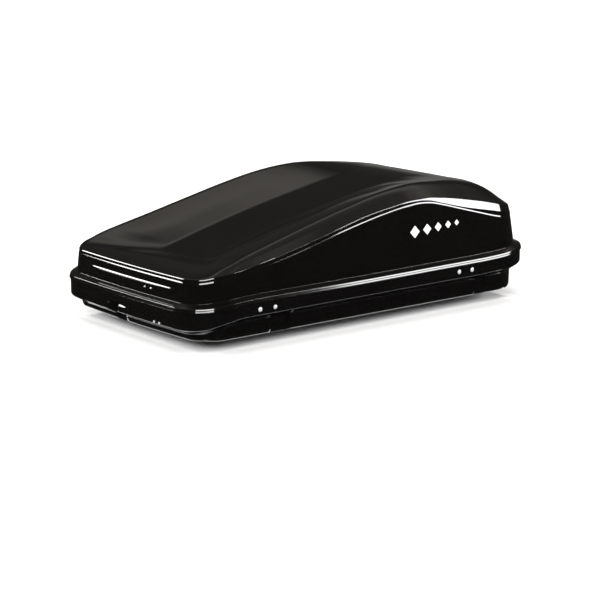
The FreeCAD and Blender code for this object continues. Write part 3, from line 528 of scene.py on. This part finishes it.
HEAD_PROFILE = ((7.5, 0.0), (7.5, 0.35), (7.3, 0.7), (6.9, 0.9), (6.3, 1.0), (5.9, 1.25),
                (5.5, 1.9), (4.9, 2.55), (4.2, 3.0), (3.5, 3.3), (3.0, 3.35), (2.7, 3.2),
                (2.5, 2.7), (2.4, 1.3), (1.8, 1.0), (0.0, 1.0))


def revolved(profile, origin, axis, count=40):
    """Closed surface of a profile of (radius, height) pairs turned about an axis."""
    axis = np.array(axis, float)
    ref = np.array([0, 0, 1.0]) if abs(axis[2]) < 0.9 else np.array([1.0, 0, 0])
    u = np.cross(ref, axis)
    u /= np.linalg.norm(u)
    v = np.cross(axis, u)
    turn = 2 * np.pi * np.arange(count) / count
    circle = np.outer(np.cos(turn), u) + np.outer(np.sin(turn), v)
    rings = [origin + axis * h + circle * max(r, 0.02) for r, h in profile]
    faces = []
    for k in range(len(rings) - 1):
        faces += grid_faces(k * count, (k + 1) * count, count)
    faces.append(tuple(range(count))[::-1])
    last = (len(rings) - 1) * count
    faces.append(tuple(last + i for i in range(count)))
    return np.vstack(rings), faces


def rivets_object(node):
    """Domed heads with a dimple and a set tail, one for each solid of the node."""
    verts, faces = [], []
    for pts in islands(frame["nodes"][node]):
        centre, axis, depth = rivet_frame(pts)
        tail = [(0.0, -depth), (3.0, -depth), (3.9, -depth + 0.3), (4.05, -depth + 0.8),
                (3.9, -depth + 1.3), (2.4, -depth + 1.4), (2.4, -0.1), (7.1, 0.0)]
        v, f = revolved(tail + list(HEAD_PROFILE), centre, axis)
        base = len(verts)
        verts += list(v * MM)
        faces += [tuple(base + i for i in face) for face in f]
    return build(node + "_domed", verts, faces)


def u_bolt_object(node):
    """Bent rod with a rolled thread on the upper part of both legs."""
    lo, hi = [np.array(c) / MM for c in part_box(node)]
    radius, bend, pitch, depth = (hi[0] - lo[0]) / 2, 12.0, 1.25, 0.5
    x = (lo[0] + hi[0]) / 2
    y0, y1 = lo[1] + radius, hi[1] - radius
    z0, top, thread = lo[2] + radius, hi[2], 11.0
    path = [(y0, z, 0.0) for z in np.arange(top, thread, -pitch / 6)]
    path += [(y0, z, 0.0) for z in np.linspace(thread - 1, z0 + bend, 4)]
    quarter = np.linspace(0, np.pi / 2, 9)[1:]
    path += [(y0 + bend - bend * np.cos(a), z0 + bend - bend * np.sin(a), a) for a in quarter]
    path += [(y1 - bend + bend * np.sin(a), z0 + bend - bend * np.cos(a), np.pi / 2 + a)
             for a in np.concatenate([[0], quarter])]
    path += [(y1, z, np.pi) for z in np.linspace(z0 + bend, thread - 1, 4)[1:]]
    path += [(y1, z, np.pi) for z in np.arange(thread, top, pitch / 6)] + [(y1, top, np.pi)]
    count = 20
    turn = 2 * np.pi * np.arange(count) / count
    rings = []
    for y, z, a in path:
        cut = np.clip((z - thread) / 2, 0, 1) * np.clip((top - z) / 1.0 + 0.2, 0, 1)
        groove = depth * cut * (0.5 + 0.5 * np.cos(2 * np.pi * z / pitch - turn))
        r = radius - groove - 0.7 * np.clip(1 - (top - z) / 0.8, 0, 1)
        side = np.array([0, np.cos(a), np.sin(a)])
        rings.append(np.array([x, y, z]) + np.outer(r * np.sin(turn), [1.0, 0, 0])
                     + np.outer(r * np.cos(turn), side))
    faces = []
    for k in range(len(rings) - 1):
        faces += [f[::-1] for f in grid_faces(k * count, (k + 1) * count, count)]
    faces.append(tuple(range(count)))
    last = (len(rings) - 1) * count
    faces.append(tuple(last + i for i in range(count))[::-1])
    return build(node + "_threaded", np.vstack(rings) * MM, faces)


KNOB_LEVELS = ((0.0, 8.2, 0.0), (0.3, 8.8, 0.0), (0.9, 9.0, 0.0), (2.9, 9.0, 0.0), (3.0, 10.5, 2.0),
               (3.2, 12.0, 4.6), (3.9, 12.7, 5.6), (5.2, 13.0, 6.0), (9.0, 13.0, 6.0),
               (12.8, 13.0, 6.0), (14.1, 12.7, 5.6), (14.8, 12.0, 4.6), (15.0, 10.5, 2.6),
               (15.1, 9.0, 0.0), (16.9, 8.8, 0.0), (17.7, 8.2, 0.0), (18.0, 7.2, 0.0))


KNOB_REACH, KNOB_BORE, KNOB_LOBES = 19.0, 4.06, 5


def knob_object(node):
    """Star knob: soft lobes, a raised hub and a bore for the leg."""
    lo, hi = [np.array(c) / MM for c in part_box(node)]
    y_mid = (lo[1] + hi[1]) / 2
    centre = np.array([hi[0] - KNOB_REACH, y_mid, lo[2]])
    count = 80
    turn = 2 * np.pi * np.arange(count) / count
    lobes = (0.5 + 0.5 * np.cos(KNOB_LOBES * turn)) ** 1.5
    spoke = np.column_stack([np.cos(turn), np.sin(turn), 0 * turn])
    top = KNOB_LEVELS[-1][0]
    rings = [centre + spoke * KNOB_BORE + (0, 0, KNOB_LEVELS[0][0])]
    for z, base, lobe in KNOB_LEVELS:
        rings.append(centre + spoke * (base + lobe * lobes)[:, None] + (0, 0, z))
    rings.append(centre + spoke * (KNOB_BORE + 0.5) + (0, 0, top))
    rings.append(centre + spoke * KNOB_BORE + (0, 0, top - 0.6))
    faces = []
    for k in range(len(rings)):
        faces += grid_faces(k * count, ((k + 1) % len(rings)) * count, count)
    return build(node + "_moulded", np.vstack(rings) * MM, faces)


# ---- materials -------------------------------------------------------------------
IOR = 1.5
BUMP_HEIGHT = 0.0006


def material(name, color, rough, metal=0.0, vary=0.15, scale=60.0, bump=0.0, bump_scale=400.0,
             rough_vary=0.05):
    """Procedural finish: colour and roughness drift with one noise, fine relief with another."""
    m = bpy.data.materials.new(name)
    m.use_nodes = True
    nt = m.node_tree
    p = nt.nodes["Principled BSDF"]
    p.inputs["Metallic"].default_value = metal
    p.inputs["IOR"].default_value = IOR
    co = nt.nodes.new("ShaderNodeTexCoord")
    noise = nt.nodes.new("ShaderNodeTexNoise")
    noise.inputs["Scale"].default_value = scale
    noise.inputs["Detail"].default_value = 6.0
    nt.links.new(co.outputs["Object"], noise.inputs["Vector"])
    ramp = nt.nodes.new("ShaderNodeValToRGB")
    lo = [max(0.0, c * (1 - vary)) for c in color]
    hi = [min(1.0, c * (1 + vary)) for c in color]
    ramp.color_ramp.elements[0].position = 0.3
    ramp.color_ramp.elements[1].position = 0.7
    ramp.color_ramp.elements[0].color = (*lo, 1)
    ramp.color_ramp.elements[1].color = (*hi, 1)
    nt.links.new(noise.outputs["Fac"], ramp.inputs["Fac"])
    nt.links.new(ramp.outputs["Color"], p.inputs["Base Color"])
    r = nt.nodes.new("ShaderNodeMapRange")
    r.inputs["To Min"].default_value = max(0.02, rough - rough_vary)
    r.inputs["To Max"].default_value = rough + rough_vary
    nt.links.new(noise.outputs["Fac"], r.inputs["Value"])
    nt.links.new(r.outputs["Result"], p.inputs["Roughness"])
    if bump:
        fine = nt.nodes.new("ShaderNodeTexNoise")
        fine.inputs["Scale"].default_value = bump_scale
        fine.inputs["Detail"].default_value = 3.0
        nt.links.new(co.outputs["Object"], fine.inputs["Vector"])
        b = nt.nodes.new("ShaderNodeBump")
        b.inputs["Strength"].default_value = bump
        b.inputs["Distance"].default_value = BUMP_HEIGHT
        nt.links.new(fine.outputs["Fac"], b.inputs["Height"])
        nt.links.new(b.outputs["Normal"], p.inputs["Normal"])
    return m


MATS = {
    "gloss_black_shell": material("gloss_black_shell", (0.0021, 0.0018, 0.0017), 0.075,
                                  scale=9.0, bump=0.012, bump_scale=220.0, rough_vary=0.02),
    "black_tub": material("black_tub", (0.0018, 0.0017, 0.0017), 0.09, scale=12.0, bump=0.012,
                          bump_scale=260.0, rough_vary=0.04),
    "seal_rubber": material("seal_rubber", (0.02, 0.02, 0.02), 0.6, bump=0.3, bump_scale=900.0),
    "decal_film": material("decal_film", (0.8, 0.81, 0.82), 0.25, vary=0.04, scale=40.0),
    "bright_rivet": material("bright_rivet", (0.62, 0.63, 0.64), 0.30, metal=0.4, vary=0.08,
                             scale=300.0, bump=0.1, bump_scale=1500.0),
    "knob_plastic": material("knob_plastic", (0.025, 0.025, 0.028), 0.45, scale=200.0, bump=0.5,
                             bump_scale=1800.0),
    "lock_chrome": material("lock_chrome", (0.8, 0.8, 0.82), 0.12, metal=1.0, vary=0.06,
                            scale=250.0, bump=0.08, bump_scale=1200.0),
    "key_nickel": material("key_nickel", (0.7, 0.69, 0.66), 0.28, metal=1.0, vary=0.1,
                           scale=300.0, bump=0.2, bump_scale=2000.0),
    "guide_plastic": material("guide_plastic", (0.05, 0.05, 0.052), 0.5, scale=150.0, bump=0.4,
                              bump_scale=1500.0),
    "zinc_steel": material("zinc_steel", (0.6, 0.61, 0.63), 0.35, metal=1.0, vary=0.18,
                           scale=90.0, bump=0.2, bump_scale=700.0, rough_vary=0.1),
}

slot_of = {s["node"]: s["material_slot"] for s in frame["record"]["subparts"]}
for node, obj in frame["nodes"].items():
    obj.data.materials.clear()
    obj.data.materials.append(MATS[slot_of[node]])


def body_of(node):
    for body, nodes in frame["record"]["behaviour"]["bodies"].items():
        if node in nodes:
            return body
    raise KeyError(node)


def place(piece, node):
    """Gives a piece the finish and the body of the CAD node that it stands for."""
    piece.data.materials.append(MATS[slot_of[node]])
    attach(piece, body_of(node))
    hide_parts(node)


place(lid_object(), "lid_shell")
place(tub_object(), "base_tub")
for node in sorted(slot_of):
    if node.endswith("_rivets"):
        place(rivets_object(node), node)
    elif node.startswith("u_bolt_"):
        place(u_bolt_object(node), node)
    elif node.startswith("wing_knob_"):
        place(knob_object(node), node)

# ---- camera, floor and light -------------------------------------------------------
AZ, EL, ROLL = math.radians(52.0), math.radians(10.9), math.radians(-0.2)
YAW, PITCH = math.radians(0.06394), math.radians(-1.75939)     # from the line to the target
DISTANCE, LENS_MM, SENSOR_MM = 6.562, 112.902, 36.0
TARGET = Vector((0, 0, 0.1875))
back = Vector((math.sin(AZ) * math.cos(EL), -math.cos(AZ) * math.cos(EL), math.sin(EL)))
right = Vector((math.cos(AZ), math.sin(AZ), 0))
up = back.cross(right)
yawed = -back * math.cos(YAW) - right * math.sin(YAW)
right_yawed = right * math.cos(YAW) - back * math.sin(YAW)
forward = yawed * math.cos(PITCH) + up * math.sin(PITCH)
up_pitched = up * math.cos(PITCH) - yawed * math.sin(PITCH)
cam_right = right_yawed * math.cos(ROLL) + up_pitched * math.sin(ROLL)
cam_up = up_pitched * math.cos(ROLL) - right_yawed * math.sin(ROLL)
cam_data = bpy.data.cameras.new("camera")
cam_data.sensor_width = SENSOR_MM
cam_data.lens = LENS_MM
cam_data.clip_end = 200.0
cam = bpy.data.objects.new("camera", cam_data)
rot = Matrix((cam_right, cam_up, -forward)).transposed().to_4x4()
cam.matrix_world = Matrix.Translation(TARGET + back * DISTANCE) @ rot
bpy.context.scene.collection.objects.link(cam)
bpy.context.scene.camera = cam

FLOOR_Z = CAD_BOX[0][2] - 0.0005


def flat_object(name, x0, x1, y0, y1, z):
    me = bpy.data.meshes.new(name)
    me.from_pydata([(x0, y0, z), (x1, y0, z), (x1, y1, z), (x0, y1, z)], [], [(0, 1, 2, 3)])
    ob = bpy.data.objects.new(name, me)
    bpy.context.scene.collection.objects.link(ob)
    return ob


floor = flat_object("floor", -60.0, 60.0, -60.0, 60.0, FLOOR_Z)
floor.data.materials.append(material("floor_paint", (0.86, 0.86, 0.86), 0.8, vary=0.01, scale=1.5))
floor.visible_glossy = False


def glow_frame(x_in, x_out, y_nose, y_tail, width, radiance):
    """Bright strip on the floor under the tub's lower edge, seen only in reflections."""
    outer = [(-x_out, y_nose - width), (x_out, y_nose - width), (x_out, y_tail + width),
             (-x_out, y_tail + width)]
    inner = [(-x_in, y_nose), (x_in, y_nose), (x_in, y_tail), (-x_in, y_tail)]
    me = bpy.data.meshes.new("floor_glow")
    me.from_pydata([(x, y, FLOOR_Z + 0.0002) for x, y in outer + inner], [],
                   [(k, (k + 1) % 4, 4 + (k + 1) % 4, 4 + k) for k in range(4)])
    m = bpy.data.materials.new("glow")
    m.use_nodes = True
    shader = m.node_tree.nodes["Principled BSDF"]
    shader.inputs["Base Color"].default_value = (0, 0, 0, 1)
    shader.inputs["Emission Color"].default_value = (1, 1, 1, 1)
    shader.inputs["Emission Strength"].default_value = radiance
    me.materials.append(m)
    ob = bpy.data.objects.new("floor_glow", me)
    bpy.context.scene.collection.objects.link(ob)
    for flag in ("visible_camera", "visible_diffuse", "visible_shadow"):
        setattr(ob, flag, False)


glow_frame(x_in=0.345, x_out=0.385, y_nose=-0.668, y_tail=0.664, width=0.032, radiance=2.6)

LAMP_DISTANCE = 15.0
LAMP_CENTRE = Vector((0, 0, 0.2))


def softbox(name, azimuths, elevations, radiance):
    """Flat lamp that fills a window of directions, given in degrees as seen from the box."""
    a0, a1 = [math.radians(a) for a in azimuths]
    e0, e1 = [math.radians(e) for e in elevations]
    a, e = (a0 + a1) / 2, (e0 + e1) / 2
    d = Vector((math.cos(a) * math.cos(e), math.sin(a) * math.cos(e), math.sin(e)))
    light = bpy.data.lights.new(name, "AREA")
    light.shape = "RECTANGLE"
    light.size = 2 * LAMP_DISTANCE * math.tan((a1 - a0) / 2) * math.cos(e)
    light.size_y = 2 * LAMP_DISTANCE * math.tan((e1 - e0) / 2)
    light.energy = radiance * math.pi * light.size * light.size_y
    ob = bpy.data.objects.new(name, light)
    ob.location = LAMP_CENTRE + d * LAMP_DISTANCE
    ob.rotation_euler = d.to_track_quat("Z", "Y").to_euler()
    bpy.context.scene.collection.objects.link(ob)


softbox("side_low", (37.5, 60.0), (10.0, 19.5), 22.0)
softbox("side_high", (29.5, 60.0), (19.5, 26.0), 22.0)
softbox("nose_strip", (203.0, 224.5), (8.5, 23.0), 22.0)
softbox("corner_strip", (288.0, 332.0), (17.0, 29.0), 18.0)

sun_data = bpy.data.lights.new("sky_fill", "SUN")
sun_data.energy = 3.1
sun_data.angle = math.radians(100.0)
sun = bpy.data.objects.new("sky_fill", sun_data)
sun.rotation_euler = (math.radians(12.0), math.radians(-8.0), 0.0)
sun.visible_glossy = False
bpy.context.scene.collection.objects.link(sun)

# Grey of the sky by the height of the direction, and its slightly warm tint.
SKY_STOPS = ((0.0, 0.030), (0.12, 0.048), (0.30, 0.045), (0.45, 0.050), (0.55, 0.16),
             (0.63, 0.40), (0.71, 0.56), (0.83, 0.26), (0.95, 0.28))
SKY_TINT = (1.06, 1.0, 0.9)
BACKDROP_DIRECTION, BACKDROP_RADIANCE = (-0.72, 0.69, -0.05), 0.20
BACKDROP_EDGE, BACKDROP_CORE = 0.962, 0.996

world = bpy.data.worlds.new("studio")
bpy.context.scene.world = world
world.use_nodes = True
wt = world.node_tree
bg = wt.nodes["Background"]
where = wt.nodes.new("ShaderNodeTexCoord")
split = wt.nodes.new("ShaderNodeSeparateXYZ")
wt.links.new(where.outputs["Generated"], split.inputs["Vector"])
sky = wt.nodes.new("ShaderNodeValToRGB")
while len(sky.color_ramp.elements) < len(SKY_STOPS):
    sky.color_ramp.elements.new(0.5)
for stop, (height, grey) in zip(sky.color_ramp.elements, SKY_STOPS):
    stop.position = height
    stop.color = (*(grey * tint for tint in SKY_TINT), 1)
wt.links.new(split.outputs["Z"], sky.inputs["Fac"])
wt.links.new(sky.outputs["Color"], bg.inputs["Color"])
bg.inputs["Strength"].default_value = 1.0

# A pale backdrop low behind the box: only faces seen at a grazing angle reflect it.
toward = wt.nodes.new("ShaderNodeVectorMath")
toward.operation = "DOT_PRODUCT"
toward.inputs[1].default_value = BACKDROP_DIRECTION
wt.links.new(where.outputs["Generated"], toward.inputs[0])
fade = wt.nodes.new("ShaderNodeMapRange")
fade.interpolation_type = "SMOOTHSTEP"
fade.inputs["From Min"].default_value = BACKDROP_EDGE
fade.inputs["From Max"].default_value = BACKDROP_CORE
fade.inputs["To Max"].default_value = BACKDROP_RADIANCE
wt.links.new(toward.outputs["Value"], fade.inputs["Value"])
backdrop = wt.nodes.new("ShaderNodeBackground")
wt.links.new(fade.outputs["Result"], backdrop.inputs["Strength"])
both = wt.nodes.new("ShaderNodeAddShader")
wt.links.new(bg.outputs["Background"], both.inputs[0])
wt.links.new(backdrop.outputs["Background"], both.inputs[1])

# The camera itself sees plain white.
white = wt.nodes.new("ShaderNodeBackground")
white.inputs["Color"].default_value = (1.0, 1.0, 1.0, 1)
pick = wt.nodes.new("ShaderNodeMixShader")
rays = wt.nodes.new("ShaderNodeLightPath")
wt.links.new(rays.outputs["Is Camera Ray"], pick.inputs["Fac"])
wt.links.new(both.outputs["Shader"], pick.inputs[1])
wt.links.new(white.outputs["Background"], pick.inputs[2])
wt.links.new(pick.outputs["Shader"], wt.nodes["World Output"].inputs["Surface"])
bpy.context.scene.view_settings.view_transform = "Standard"
